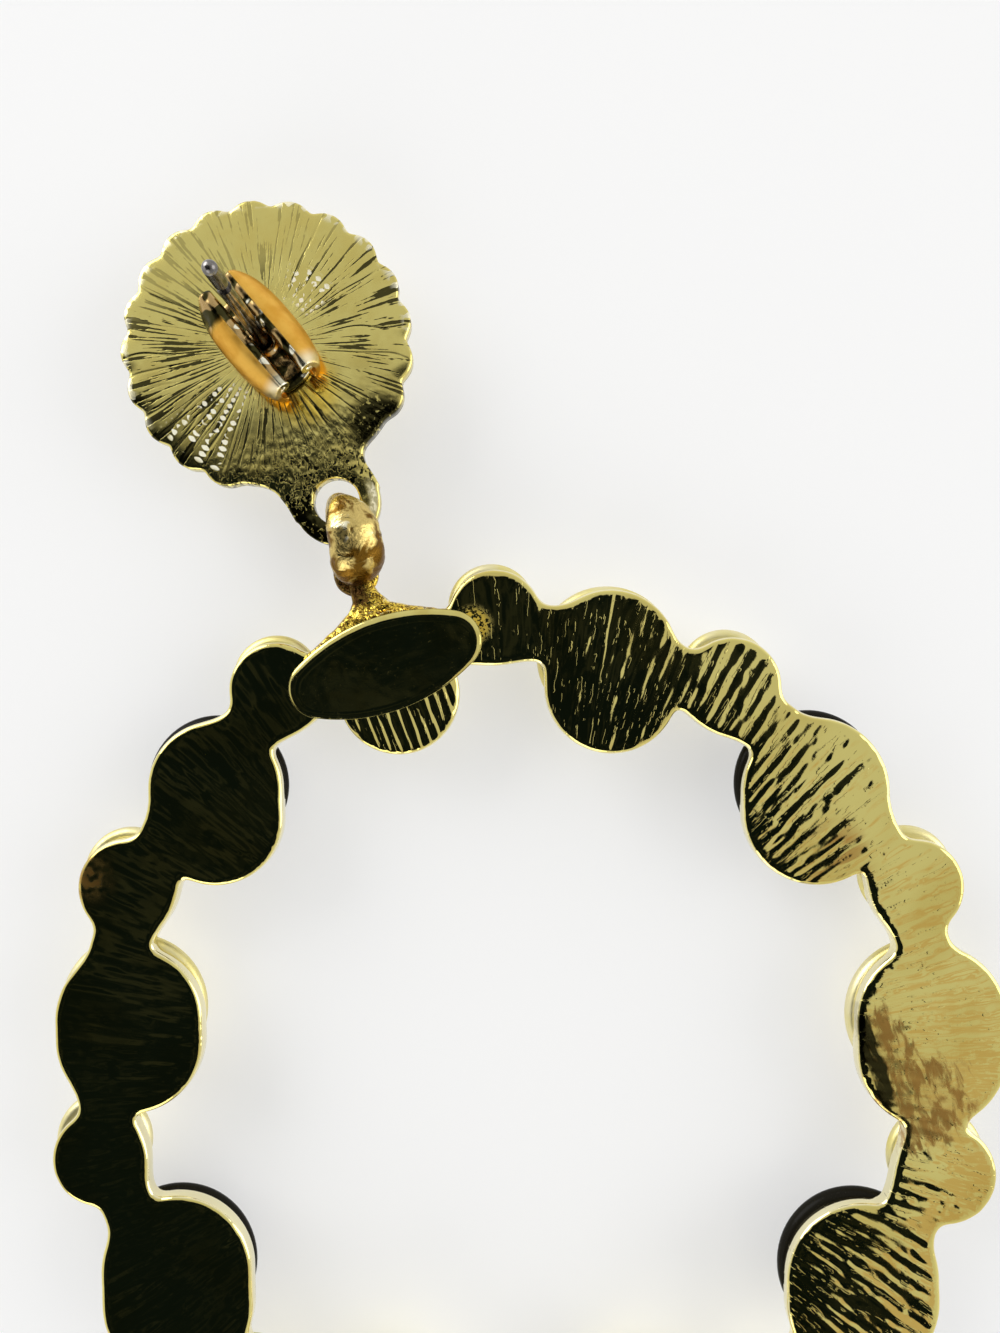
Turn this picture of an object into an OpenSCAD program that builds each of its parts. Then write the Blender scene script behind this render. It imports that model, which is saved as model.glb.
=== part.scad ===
// Beaded hoop earring with a scalloped stud, lying on the front of its beads with its back up.
// Millimetres. +Z is up, out of the back of the earring, and +Y runs from the hoop to the stud.

/* [Hoop] */
// Radius of the circle that the large lobes are set out on
hoop_r = 24.6; // [24:0.1:26]
// Thickness of the hoop plate and of the stud plate
plate_t = 1; // [0.9:0.05:1.2]
// Chamfer round the back edge of the hoop plate
plate_bevel = 0.3; // [0.1:0.05:0.4]
// Depth of the large beads in front of the plate
large_depth = 3.6; // [3.2:0.1:4.2]
// Depth of the small beads in front of the plate
small_depth = 2.5; // [2:0.1:3]
// Rounding of a large bead's widest edge
large_round = 0.5; // [0.4:0.05:0.8]
// Rounding of a small bead's widest edge
small_round = 0.45; // [0.35:0.05:0.6]

/* [Tag] */
// Length of the oval tag
tag_len = 12.1; // [10:0.1:13]
// Width of the oval tag
tag_wid = 5.7; // [5:0.1:6]
// Thickness of the tag behind the plate
tag_t = 0.7; // [0.5:0.1:1]
// Width of the tag's raised rim
tag_rim = 0.45; // [0.3:0.05:0.6]
// Turn of the tag against the hoop
tag_turn = 1.4; // [-6:0.2:6]

/* [Stud] */
// Radius to the tips of the scallops
stud_r = 8.9; // [8.5:0.05:9.5]
// Number of scallops round the stud
scallops = 21; // [15:1:24]
// Radius of one scallop's bulge
scallop_r = 1.5; // [1.3:0.1:1.8]
// Distance from the tab's hole to the middle of the stud
tab_reach = 10.35; // [10:0.05:11]
// Turn of the stud against the hoop
stud_turn = 5.8; // [-10:0.2:10]
// Number of grooves on the back of the stud
grooves = 45; // [30:3:60]
// Depth of a groove
groove_depth = 0.16; // [0.1:0.02:0.2]
// Radius of the domed bead on the front of the stud
stud_bead_r = 6.2; // [5:0.1:7]

/* [Post and nut] */
// Radius of the ear post
post_r = 0.4; // [0.35:0.01:0.45]
// Length of the ear post behind the stud
post_len = 11.8; // [10:0.1:12]
// Radial clearance of the nut on the post
nut_gap = 0.05; // [0.02:0.01:0.1]
// Length of the nut's plate and wings
nut_len = 7.1; // [6:0.1:8]
// Turn of the nut on the post
nut_turn = 22; // [0:1:90]

/* [Jump ring] */
// Radius of the jump ring's wire
ring_wire_r = 0.65; // [0.55:0.05:0.65]
// Radius from the jump ring's middle to the middle of its wire
ring_r = 2.25; // [2.15:0.05:2.3]
// Turn of the jump ring from edge-on
ring_turn = 20; // [0:1:22]

/* [Hidden] */
$fn = 64;
LARGE_COUNT = 10;
SMALL_COUNT = 10;
LARGE_NAMES = [for (i = [1:LARGE_COUNT]) str("large_bead_", i)];
SMALL_NAMES = [for (i = [1:SMALL_COUNT]) str("small_bead_", i)];
PLAIN_NAMES = ["hoop_plate", "stud_plate", "stud_bead", "ear_post", "ear_nut", "jump_ring"];

// One row a large lobe, from the top of the hoop to its bottom.
// Columns: angle from the top, offset from hoop_r, lobe's half width, stretch of its half length,
// bead radius
LARGE = [
    [0, -0.85, 3.7, 0, 3.65],
    [31.2, -0.1, 4.1, 0.9, 4.35],
    [66.6, -0.6, 4.5, 0.6, 4.55],
    [104.5, 0.4, 4.6, 1, 4.7],
    [142, 0.3, 4.65, 0.7, 4.7],
    [180, 0.3, 4.65, 0.7, 4.7]
];
// One row a small lobe, from the top of the hoop to its bottom.
// Columns: angle, offset from hoop_r, lobe radius, bead radius,
// inner and outer offset of the web that joins it to the large lobes on both sides
SMALL = [
    [14.9, 2.7, 2.85, 2.7, -0.1, 3.4],
    [47.5, 1.7, 3, 2.9, -0.95, 2.7],
    [84.2, 1.7, 2.9, 2.95, -0.8, 2.5],
    [123, 2.1, 3, 3, -1, 2.6],
    [161.2, 2.1, 3, 3, -1, 2.6]
];
// The long sides of the large lobes all lean the same way from +Y.
lobe_lean = 17;
// The beads sit a little off their lobes, toward the stud.
large_lift = [0.15, 0.95];
small_lift = [0, 0.65];
// Beads are numbered going right from the top and back up the left side.
function large_row(i) = i <= 5 ? LARGE[i] : LARGE[10 - i];
function large_side(i) = i <= 5 ? 1 : -1;
function small_row(i) = i <= 4 ? SMALL[i] : SMALL[9 - i];
function small_side(i) = i <= 4 ? 1 : -1;

seat_gap = 0.03;
seat_depth = 0.25;
seat_in = 1.5;
// Shapes that would only touch or meet edge to edge overlap by lap or stop short by seam.
seam = 0.02;
lap = 0.1;
front_z = large_depth;
back_z = front_z + plate_t;
mid_z = (front_z + back_z) / 2;

// The chain of eye, jump ring and tab above the hoop's middle, top to bottom.
tab_hole_r = 1.41;
tab_r = 2.65;
eye_wire_r = 0.28;
eye_r = 1.1;
neck_w = 1.15;
hole_x = 0.1;
hole_y = 36.05;
eye_x = -0.2;
ring_y = hole_y - ring_r - 0.1;
eye_y = ring_y - ring_r + 0.05;
ring_x = (hole_x + eye_x) / 2;
ring_lean = atan((hole_x - eye_x) / (hole_y - eye_y));
flare_y = 29.6;
tag_x = -0.15;
tag_y = 25.7;

stud_y = hole_y + tab_reach * cos(stud_turn);
bottom_y = -(hoop_r + LARGE[5][1] + LARGE[5][2] + LARGE[5][3] * cos(lobe_lean));
// The topmost scallop leans a little off the axis, so its tip stops short of stud_r.
tip_short = 0.038;
top_y = stud_y + stud_r - tip_short;
// The whole earring's box is centred on the origin in Y.
centre_y = -(top_y + bottom_y) / 2;

// The scallops beside the tab that the casting leaves out.
BLANK_SCALLOPS = [9, 12];

nut_lift = 0.15;
nut_base_t = 0.4;
nut_half_w = 2;
sheet_t = 0.35;
wing_r = 1.2;
wing_x = 0.95;
roll_r = 0.5;
post_sunk = 0.6;
groove_from_tip = 2.2;
groove_r = 0.24;
groove_len = 0.6;

// Places a shape at an angle from the hoop's top and a radius from its middle.
module on_hoop(angle, radius) {
    rotate([0, 0, -angle])
        translate([0, radius, 0])
            children();
}

// A wedge of the plane between two angles from the top.
module wedge(from, to) {
    reach = 60;
    middle = (from + to) / 2;
    points = [for (a = [from, middle, to]) [reach * sin(a), reach * cos(a)]];
    polygon(concat([[0, 0]], points));
}

// The ring-shaped web between two neighbouring large lobes, drawn thinner by inset.
module web_2d(row, from, to, inset) {
    intersection() {
        difference() {
            circle(r = hoop_r + row[5] - inset, $fn = 180);
            circle(r = hoop_r + row[4] + inset, $fn = 180);
        }
        wedge(from, to);
    }
}

// The neck under the eye and the solder flare below it, over the top large lobe.
module flare_2d(inset) {
    w = neck_w / 2 - inset;
    neck_y = eye_y - eye_r;
    polygon([
        [eye_x - w, neck_y], [eye_x + w, neck_y], [eye_x + w + 0.1, flare_y + 0.5],
        [1.2 - inset, flare_y - 0.1], [2.6 - inset, 28.8 - inset], [4.9, 27.9 - inset],
        [4.9, 25.5], [-4.9, 25.5], [-4.6, 27.9 - inset], [-2.9 + inset, 28.75 - inset],
        [-1.4 + inset, flare_y - 0.1], [eye_x - w - 0.1, flare_y + 0.5]
    ]);
}

// A large lobe is a disc stretched along its long side.
module lobe_2d(row, side, inset) {
    half_w = row[2] - inset;
    rotate([0, 0, side * row[0] - lobe_lean]) {
        for (end = [-1, 1])
            translate([0, end * row[3]])
                circle(r = half_w);
        if (row[3] > 0)
            square([half_w * 2 - seam, row[3] * 2], center = true);
    }
}

// The hoop plate's outline, with every edge moved in by inset.
module hoop_outline(inset) {
    for (side = [-1, 1])
        for (row = LARGE)
            rotate([0, 0, -side * row[0]])
                translate([0, hoop_r + row[1]])
                    lobe_2d(row, side, inset);
    for (side = [-1, 1])
        for (k = [0:len(SMALL) - 1]) {
            rotate([0, 0, -side * SMALL[k][0]])
                translate([0, hoop_r + SMALL[k][1]])
                    circle(r = SMALL[k][2] - inset);
            web_2d(SMALL[k], side * LARGE[k][0], side * LARGE[k + 1][0], inset);
        }
    flare_2d(inset);
}

// The eye that the jump ring passes through.
module eye() {
    translate([eye_x, eye_y, mid_z])
        rotate_extrude()
            translate([eye_r, 0])
                circle(r = eye_wire_r, $fn = 32);
}

module oval_2d(length, width) {
    intersection() {
        translate([0, -oval_drop(length, width)]) circle(r = oval_big(length, width), $fn = 200);
        translate([0, oval_drop(length, width)]) circle(r = oval_big(length, width), $fn = 200);
        square([length - 0.9, width * 2], center = true);
    }
    for (side = [-1, 1])
        translate([side * (length / 2 - oval_end(width)), 0])
            circle(r = oval_end(width));
}

// The oval is two long arcs closed by two round ends.
function oval_end(width) = width * 0.32;
function oval_span(length, width) = length / 2 - oval_end(width);
function oval_big(length, width) =
    (pow(oval_span(length, width), 2) + pow(width / 2, 2) - pow(oval_end(width), 2))
    / (width - 2 * oval_end(width));
function oval_drop(length, width) = oval_big(length, width) - width / 2;

// The bare oval tag, dished inside a raised rim, soldered to the back of the plate.
module oval_tag() {
    translate([tag_x, tag_y, 0])
        rotate([0, 0, tag_turn])
            difference() {
                translate([0, 0, back_z - 0.2])
                    linear_extrude(tag_t + 0.2)
                        oval_2d(tag_len, tag_wid);
                translate([0, 0, back_z + tag_t - 0.22])
                    linear_extrude(1)
                        oval_2d(tag_len - 2 * tag_rim, tag_wid - 2 * tag_rim);
            }
}

// The plate, its eye and its tag are one casting, with a shallow seat for each bead.
module hoop_plate() {
    color([0.80, 0.72, 0.38])
        translate([0, centre_y, 0])
            difference() {
                union() {
                    translate([0, 0, front_z])
                        linear_extrude(plate_t - plate_bevel)
                            hoop_outline(0);
                    translate([0, 0, front_z])
                        linear_extrude(plate_t)
                            hoop_outline(plate_bevel);
                    eye();
                    oval_tag();
                }
                for (i = [0:LARGE_COUNT - 1])
                    large_place(i)
                        bead_seat(large_row(i)[4]);
                for (i = [0:SMALL_COUNT - 1])
                    small_place(i)
                        bead_seat(small_row(i)[3]);
            }
}

module large_place(i) {
    row = large_row(i);
    translate(large_lift)
        on_hoop(large_side(i) * row[0], hoop_r + row[1])
            children();
}

module small_place(i) {
    row = small_row(i);
    translate(small_lift)
        on_hoop(small_side(i) * row[0], hoop_r + row[1])
            children();
}

module bead_seat(bead_r) {
    translate([0, 0, front_z - 1])
        cylinder(r = bead_r - seat_in + seat_gap, h = 1 + seat_depth);
}

// Radius of the sphere through a bead's apex that holds its rounded edge, a ring of thickness 2t.
function dome_r(ring_r, t, h) = (pow(ring_r, 2) + h * h - t * t) / (2 * (h - t));

// Half of a bead's outline: a rounded edge, a domed front and a foot in the plate's seat.
module bead_half(r, t, depth) {
    h = depth - seat_gap - t;
    touch_t = t - seam;
    dome = dome_r(r - t, touch_t, h);
    meet_y = touch_t * (dome - h) / (dome - touch_t);
    translate([r - t, 0]) circle(r = t);
    translate([0, -meet_y - lap]) square([r - t, t + meet_y + lap - seam / 4]);
    translate([0, -t]) square([r - seat_in, 2 * t + seat_depth]);
    intersection() {
        translate([0, dome - h]) circle(r = dome, $fn = 128);
        translate([0, -h]) square([r, h - meet_y]);
    }
}

module bead(r, t, depth) {
    translate([0, 0, front_z - seat_gap - t])
        rotate_extrude(angle = 360)
            bead_half(r, t, depth);
}

module large_bead(i) {
    color([0.76, 0.70, 0.45])
        translate([0, centre_y, 0])
            large_place(i)
                bead(large_row(i)[4], large_round, large_depth);
}

module small_bead(i) {
    color([0.76, 0.70, 0.45])
        translate([0, centre_y, 0])
            small_place(i)
                bead(small_row(i)[3], small_round, small_depth);
}

// Everything on the stud is placed from the tab's hole.
module on_stud() {
    translate([hole_x, centre_y + hole_y, 0])
        rotate([0, 0, stud_turn])
            children();
}

module stud_outline() {
    translate([0, tab_reach]) {
        circle(r = stud_r - 0.45, $fn = 180);
        for (i = [0:scallops - 1])
            if (len(search(i, BLANK_SCALLOPS)) == 0)
                rotate([0, 0, i * 360 / scallops])
                    translate([0, stud_r - scallop_r])
                        circle(r = scallop_r);
    }
    circle(r = tab_r);
    polygon([[-tab_r, 0], [tab_r, 0], [2.4, 3.3], [-3.4, 3.1]]);
}

// A groove is a thin three-sided cutter that runs from near the post to the edge.
module groove(start) {
    length = stud_r;
    translate([0, start, 0])
        rotate([-90, 0, 0])
            rotate([0, 0, 90])
                cylinder(r = groove_depth * 1.4, h = length, $fn = 3);
}

module stud_plate() {
    color([0.78, 0.73, 0.42])
        on_stud()
            difference() {
                translate([0, 0, front_z])
                    linear_extrude(plate_t)
                        difference() {
                            stud_outline();
                            circle(r = tab_hole_r);
                        }
                translate([0, tab_reach, back_z])
                    for (i = [0:grooves - 1])
                        rotate([0, 0, (i + 0.5) * 360 / grooves])
                            groove(i % 3 == 0 ? 2.6 : 3.6);
                translate([0, tab_reach, back_z - post_sunk])
                    cylinder(r = post_r + seat_gap, h = post_sunk + 1);
                translate([0, tab_reach, 0])
                    bead_seat(stud_bead_r);
            }
}

// The plain domed bead on the front of the stud.
module stud_bead() {
    color([0.76, 0.70, 0.45])
        on_stud()
            translate([0, tab_reach, 0])
                bead(stud_bead_r, large_round, large_depth);
}

// The post is a straight pin with a rounded tip and one groove below it.
module ear_post() {
    base_z = back_z - post_sunk + seat_gap;
    tip_z = back_z + post_len;
    neck_z = tip_z - groove_from_tip;
    color([0.55, 0.55, 0.54])
        on_stud()
            translate([0, tab_reach, 0]) {
                translate([0, 0, base_z]) cylinder(r = post_r, h = neck_z - groove_len - base_z);
                translate([0, 0, neck_z - groove_len - lap])
                    cylinder(r = groove_r, h = groove_len + 2 * lap);
                translate([0, 0, neck_z]) cylinder(r = post_r, h = tip_z - post_r - neck_z);
                translate([0, 0, tip_z - post_r]) sphere(r = post_r);
            }
}

// One wing of the nut seen along its length: an outer arch that rolls in against the post.
module wing_2d() {
    crown = nut_base_t / 2 + wing_r;
    translate([wing_x, crown])
        intersection() {
            ring_2d(wing_r);
            sector_2d(-80, 90, wing_r);
        }
    translate([wing_x, crown + wing_r - roll_r])
        intersection() {
            ring_2d(roll_r);
            sector_2d(90, 285, wing_r);
        }
}

module ring_2d(r) {
    difference() {
        circle(r = r + sheet_t / 2);
        circle(r = r - sheet_t / 2);
    }
}

// A fan from one angle to another, wide enough to cover a ring of radius r.
module sector_2d(from, to, r) {
    steps = 6;
    polygon(concat([[0, 0]], [for (k = [0:steps]) 4 * r * [
        cos(from + (to - from) * k / steps),
        sin(from + (to - from) * k / steps)
    ]]));
}

// The butterfly nut: an oblong plate with a hole and two rolled wings that grip the post.
module ear_nut() {
    color([0.85, 0.62, 0.22])
        on_stud()
            translate([0, tab_reach, back_z + nut_lift])
                rotate([0, 0, nut_turn - stud_turn])
                    difference() {
                        union() {
                            linear_extrude(nut_base_t)
                                intersection() {
                                    circle(r = nut_len / 2 - 0.3);
                                    square([nut_half_w * 2, nut_len], center = true);
                                }
                            cylinder(r = 0.85, h = nut_base_t + 0.25);
                            intersection() {
                                translate([0, nut_len / 2, 0])
                                    rotate([90, 0, 0])
                                        linear_extrude(nut_len) {
                                            wing_2d();
                                            mirror([1, 0]) wing_2d();
                                        }
                                cylinder(r = nut_len / 2, h = 6);
                            }
                        }
                        translate([0, 0, -1])
                            cylinder(r = post_r + nut_gap, h = 8);
                    }
}

// The jump ring stands almost edge-on through the tab's hole and the hoop's eye.
module jump_ring() {
    color([0.83, 0.66, 0.32])
        translate([ring_x, centre_y + ring_y, mid_z])
            rotate([0, ring_turn, -ring_lean])
                rotate([0, 90, 0])
                    rotate_extrude()
                        translate([ring_r, 0])
                            circle(r = ring_wire_r, $fn = 32);
}

hoop_plate();
stud_plate();
stud_bead();
ear_post();
ear_nut();
jump_ring();
for (i = [0:LARGE_COUNT - 1])
    large_bead(i);
for (i = [0:SMALL_COUNT - 1])
    small_bead(i);
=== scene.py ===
"""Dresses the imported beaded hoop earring: plated backs with file marks, bare tag, solder, link and nut."""

import math
from functools import reduce

import bmesh
import bpy
import numpy as np
from mathutils import Matrix, Vector


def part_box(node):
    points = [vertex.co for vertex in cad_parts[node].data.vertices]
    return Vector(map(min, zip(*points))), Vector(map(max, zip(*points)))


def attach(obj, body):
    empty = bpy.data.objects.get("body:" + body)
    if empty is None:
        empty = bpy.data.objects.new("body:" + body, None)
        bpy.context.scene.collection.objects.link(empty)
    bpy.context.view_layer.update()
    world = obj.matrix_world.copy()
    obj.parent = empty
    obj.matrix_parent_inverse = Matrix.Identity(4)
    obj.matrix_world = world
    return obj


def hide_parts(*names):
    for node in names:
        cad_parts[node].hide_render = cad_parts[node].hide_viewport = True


bl_info = {
    "name": "Beaded hoop earring",
    "version": (1, 0, 0),
    "blender": (4, 5, 0),
    "location": "3D View > Sidebar > Earring",
    "description": "Builds the detailed back of a beaded hoop earring around its packed solids",
    "category": "Object",
}

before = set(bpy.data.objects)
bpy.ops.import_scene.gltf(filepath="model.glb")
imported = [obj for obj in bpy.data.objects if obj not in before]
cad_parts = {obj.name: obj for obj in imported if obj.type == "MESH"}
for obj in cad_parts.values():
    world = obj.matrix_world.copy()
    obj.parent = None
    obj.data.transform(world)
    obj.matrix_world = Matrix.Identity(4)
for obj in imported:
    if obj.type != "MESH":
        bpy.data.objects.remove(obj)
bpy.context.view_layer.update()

# Sizes are in millimetres and angles in degrees, unless a comment says otherwise.
MM = 0.001


def box_mm(node):
    """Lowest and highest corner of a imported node, in millimetres."""
    low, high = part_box(node)
    return np.array(low) / MM, np.array(high) / MM


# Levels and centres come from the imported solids, in millimetres.
PLATE_FRONT, PLATE_BACK = (corner[2] for corner in box_mm("stud_plate"))
PLATE_MID = (PLATE_FRONT + PLATE_BACK) / 2
POST_XY = sum(box_mm("ear_post"))[:2] / 2
NUT_BOTTOM = box_mm("ear_nut")[0][2]
LINK_MIDDLE = sum(box_mm("jump_ring")) / 2

# The hoop: the circle of its large lobes, and how far these lean.
HOOP_R = 24.6
LOBE_LEAN = 17.0
# Columns: angle from the top, offset from HOOP_R, half width, stretch.
LARGE_LOBES = (
    (0.0, -0.85, 3.7, 0.0),
    (31.2, -0.1, 4.1, 0.9),
    (66.6, -0.6, 4.5, 0.6),
    (104.5, 0.4, 4.6, 1.0),
    (142.0, 0.3, 4.65, 0.7),
    (180.0, 0.3, 4.65, 0.7),
)
# Columns: angle from the top, offset, radius, inner and outer offset of the web on both sides.
SMALL_LOBES = (
    (14.9, 2.7, 2.85, -0.1, 3.4),
    (47.5, 1.7, 3.0, -0.95, 2.7),
    (84.2, 1.7, 2.9, -0.8, 2.5),
    (123.0, 2.1, 3.0, -1.0, 2.6),
    (161.2, 2.1, 3.0, -1.0, 2.6),
)
BLACK_BEADS = ("large_bead_3", "large_bead_5", "large_bead_8", "large_bead_10")


def hoop_reach():
    """From the hoop's middle to its lowest point, to 0.0001 mm."""
    _, offset, half_w, stretch = LARGE_LOBES[-1]
    return round(HOOP_R + offset + half_w + stretch * math.cos(math.radians(LOBE_LEAN)), 4)


CENTRE_Y = box_mm("hoop_plate")[0][1] + hoop_reach()
HUB = (0.0, CENTRE_Y)

# The long scratch over the lobe right of the top one, and the spacing of the top lobe's ridges.
SCRATCH_START = (14.18, CENTRE_Y + 25.39)
SCRATCH_WAY = (-0.4622, -0.8866)
SCRATCH_LENGTH = 10.0
SCRATCH_WIDTH = 0.12
RIDGE_PITCH = 0.62

# The stud: its disc, its scallops with the two left plain beside the tab, and its pierced tab.
STUD_R = 8.45
STUD_TURN = 5.8
SCALLOPS = 21
PLAIN_SCALLOPS = (9, 12)
SCALLOP_R = 1.5
SCALLOP_OUT = 7.4
HOLE_XY = np.array((0.1, CENTRE_Y + 36.05))
HOLE_R = 1.41
TAB_R = 2.65
POST_HOLE_R = 0.5
# Softness where a scallop, the tab's neck and the whole tab run into what carries them.
SCALLOP_BLEND = 0.25
NECK_BLEND = 0.5
TAB_BLEND = 0.9

# The eye and its neck, the tag, the link and the nut.
EYE_XY = np.array((-0.2, CENTRE_Y + 31.5))
NECK_FOOT_Y = CENTRE_Y + 29.4
TAG_XY = np.array((-0.15, CENTRE_Y + 25.7))
TAG_TURN = 1.4
LINK_LEAN = 20.0
NUT_TURN = 22.0
NUT_HOLE_R = 0.46
AXIS_OF_NUT = Vector((-math.sin(math.radians(NUT_TURN)), math.cos(math.radians(NUT_TURN)), 0))

# Round patches on the backs, some of them painted reflections and painted light: middle, full within the
# first radius, gone past the second.
SOLDER_SPILL = ((5.6, CENTRE_Y + 26.3), 0.7, 1.4)
BROWN_REFLECTION = ((-21.2, CENTRE_Y + 19.0), 0.4, 2.2)
HATCHED = ((22.0, CENTRE_Y + 6.0), 1.0, 2.8)
TAB_SHINE = (HOLE_XY + (2.4, -0.6), 0.9, 1.5)
TAB_SHADE = (HOLE_XY + (-2.0, -0.9), 0.9, 2.2)
DARK_REFLECTION = (POST_XY + (5.0, -6.6), 1.3, 2.2)
NUT_REFLECTION = (POST_XY + (1.3, -3.3), 1.3, 2.7)
# Brown spots and a dark streak on the right lobe: middle, half width and half height.
WORN_SPOTS = (
    ((21.5, CENTRE_Y - 6.2), 1.5, 2.6),
    ((22.4, CENTRE_Y - 9.9), 3.0, 2.6),
)
DARK_STREAK = ((20.35, CENTRE_Y - 6.3), 0.62, 3.9)

# The stage, in metres and watts. Columns: name, place, width, power.
LAMPS = (
    ("key", (-0.45, 0.75, 0.35), 0.8, 5.0),
    ("fill", (0.8, -0.2, 0.35), 0.8, 3.0),
    ("low", (-0.5, -0.7, 0.3), 0.7, 2.0),
)
FLOOR_WIDTH = 4.0
FLOOR_GAP = 0.00003
FLOOR_GLOW = 0.48

# Distance fields: negative inside a shape, in millimetres.


def turned(x, y, centre, degrees):
    """Coordinates along the sides of a frame turned anticlockwise about a centre."""
    c, s = math.cos(math.radians(degrees)), math.sin(math.radians(degrees))
    dx, dy = x - centre[0], y - centre[1]
    return dx * c + dy * s, dy * c - dx * s


def placed(u, v, centre, degrees):
    """The other way round: places of points given along the sides of a turned frame."""
    c, s = math.cos(math.radians(degrees)), math.sin(math.radians(degrees))
    return centre[0] + u * c - v * s, centre[1] + u * s + v * c


def disc(x, y, centre, radius):
    return np.hypot(x - centre[0], y - centre[1]) - radius


def stadium(x, y, centre, half_w, stretch, degrees):
    along, up = turned(x, y, centre, degrees)
    return np.hypot(along, up - np.clip(up, -stretch, stretch)) - half_w


def arc_band(x, y, centre, angle_a, angle_b, inner, outer):
    """A curved strip between two angles measured clockwise from +Y."""
    dx, dy = x - centre[0], y - centre[1]
    mid = math.radians((angle_a + angle_b) / 2)
    half = abs(math.radians(angle_b - angle_a)) / 2
    c, s = math.cos(mid), math.sin(mid)
    angle = np.arctan2(dx * c - dy * s, dx * s + dy * c)
    held = np.clip(angle, -half, half) + mid
    line = (inner + outer) / 2
    on_band = np.abs(np.hypot(dx, dy) - line)
    past_end = np.hypot(dx - line * np.sin(held), dy - line * np.cos(held))
    return np.where(np.abs(angle) <= half, on_band, past_end) - (outer - inner) / 2


def polygon(x, y, corners):
    """Distance to a closed outline of straight sides."""
    nearest, sign = np.full(np.shape(x), 1e9), np.ones(np.shape(x))
    for (ax, ay), (bx, by) in zip(corners, np.roll(corners, -1, 0)):
        side_x, side_y = bx - ax, by - ay
        t = np.clip(((x - ax) * side_x + (y - ay) * side_y) / (side_x**2 + side_y**2), 0, 1)
        nearest = np.minimum(nearest, np.hypot(x - ax - t * side_x, y - ay - t * side_y))
        crosses = ((ay <= y) & (y < by)) | ((by <= y) & (y < ay))
        with np.errstate(divide="ignore", invalid="ignore"):
            left = x < side_x * (y - ay) / side_y + ax
        sign = np.where(crosses & left, -sign, sign)
    return nearest * sign


def soft_union(a, b, blend):
    t = np.clip(0.5 + 0.5 * (b - a) / blend, 0.0, 1.0)
    return b * (1 - t) + a * t - blend * t * (1 - t)


def shoulder(far, width):
    """One at a shape's outline, falling to zero at a width inside it."""
    return np.clip(1 + far / width, 0, 1) ** 2


def on_circle(degrees, radius):
    """A place on a circle about the hoop's middle, at an angle clockwise from the top."""
    a = math.radians(degrees)
    return np.array((radius * math.sin(a), CENTRE_Y + radius * math.cos(a)))


def hoop_distance(x, y, blend):
    total = None
    for side in (-1, 1):
        for angle, offset, half_w, stretch in LARGE_LOBES:
            lobe = stadium(x, y, on_circle(side * angle, HOOP_R + offset), half_w, stretch, -LOBE_LEAN)
            total = lobe if total is None else np.minimum(total, lobe)
        for k, (angle, offset, radius, inner, outer) in enumerate(SMALL_LOBES):
            lobe = disc(x, y, on_circle(side * angle, HOOP_R + offset), radius)
            a, b = side * LARGE_LOBES[k][0], side * LARGE_LOBES[k + 1][0]
            web = arc_band(x, y, HUB, min(a, b), max(a, b), HOOP_R + inner, HOOP_R + outer)
            total = soft_union(total, soft_union(lobe, web, blend), blend)
    return total


# Uneven surfaces: smooth random values, and the marks of the hoop's back made from them.


def lattice(seed, size=256):
    return np.random.default_rng(seed).random((size, size)).astype(np.float32)


LATTICES = [lattice(k) for k in range(24)]


def wander(u, v, seed):
    """Smooth random values from -1 to 1 on a plane, about one swing a unit.

    What a caller adds to u and v only picks another stretch of the pattern.
    """
    grid = LATTICES[seed % len(LATTICES)]
    iu, iv = np.floor(u).astype(int), np.floor(v).astype(int)
    fu, fv = u - iu, v - iv
    fu, fv = fu * fu * (3 - 2 * fu), fv * fv * (3 - 2 * fv)
    n = grid.shape[0]
    a, b = grid[iu % n, iv % n], grid[(iu + 1) % n, iv % n]
    c, d = grid[iu % n, (iv + 1) % n], grid[(iu + 1) % n, (iv + 1) % n]
    return 2 * ((a * (1 - fu) + b * fu) * (1 - fv) + (c * (1 - fu) + d * fu) * fv) - 1


def file_marks(x, y):
    """Uneven marks across the hoop's ring, with more even stripes on its right side.

    What around and radius are divided by is the grain around the ring and outward.
    """
    dy = y - CENTRE_Y
    around, radius = (np.arctan2(x, dy) + math.pi) * HOOP_R, np.hypot(x, dy)
    chatter = wander(around / 0.5, radius / 0.45, 18)
    coarse = wander(around / 0.46, radius / 2.0 + 0.35 * chatter, 1)
    fine = wander(around / 0.24, radius / 1.2, 2)
    phase = 2 * math.pi * around / 0.76 + 2.4 * wander(around / 2.2, radius / 4.0, 22) + 0.8 * chatter
    stripes = np.cos(phase) * np.clip((x - 4.0) / 6.0, 0, 1)
    return coarse + 0.35 * fine + 0.4 * stripes


def top_ridges(x, y):
    """Broad ridges that run up the top lobe, nowhere else."""
    offset, half_w = LARGE_LOBES[0][1:3]
    on_lobe = np.clip(1 - disc(x, y, on_circle(0, HOOP_R + offset), 0.0) / (half_w + 0.5), 0, 1)
    uneven = 0.9 * wander(x / 0.35 + 12, y / 0.8 + 12, 21)
    ridges = np.cos((x + 0.05 * (y - CENTRE_Y)) * 2 * math.pi / RIDGE_PITCH) + uneven
    return np.clip(ridges, -0.2, 1) * np.minimum(1, on_lobe * 4)


def long_scratch(x, y):
    """One on the line of the long scratch, zero away from it."""
    dx, dy = x - SCRATCH_START[0], y - SCRATCH_START[1]
    along = dx * SCRATCH_WAY[0] + dy * SCRATCH_WAY[1]
    aside = dy * SCRATCH_WAY[0] - dx * SCRATCH_WAY[1] + 0.05 * wander(along / 0.7, along * 0 + 4.5, 19)
    within = np.clip(along / 0.6 + 1, 0, 1) * np.clip((SCRATCH_LENGTH - along) / 0.6, 0, 1)
    return within * np.exp(-((aside / SCRATCH_WIDTH) ** 2))


# Relief plates and round wires.


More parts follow.
